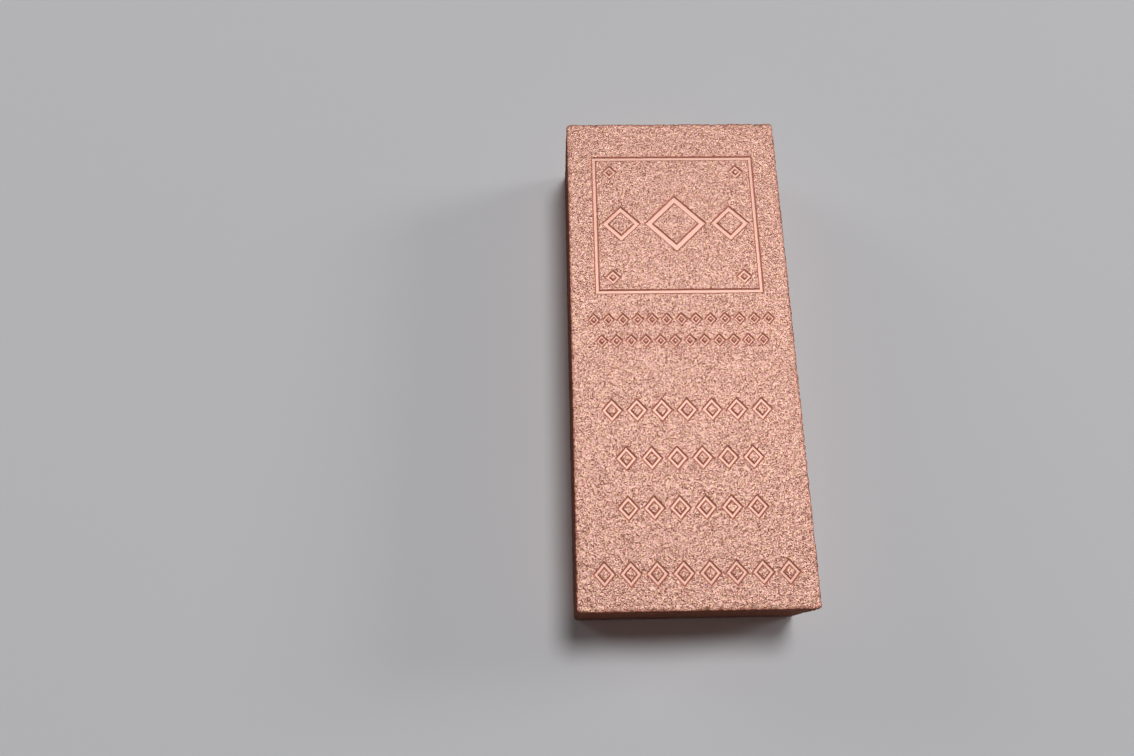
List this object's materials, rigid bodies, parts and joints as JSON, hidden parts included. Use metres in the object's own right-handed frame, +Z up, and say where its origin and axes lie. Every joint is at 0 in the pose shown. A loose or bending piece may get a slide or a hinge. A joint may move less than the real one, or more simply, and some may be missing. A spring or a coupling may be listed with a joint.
{
  "type": "copper ingot",
  "caption": "Oblong cast copper block with a coarse matte grain, a square sunk frame near one end and rows of sunk lozenges.",
  "frame": {"origin": "middle of the base", "axes": "+Y along the bar to its head, the end with the square frame; +X to the right as the marks are read; +Z up, out of the marked face"},
  "size_m": [0.0472, 0.1084, 0.022],
  "materials": {
    "cast_copper": null
  },
  "bodies": {
    "root": {"ingot": "cast_copper"}
  },
  "joints": []
}
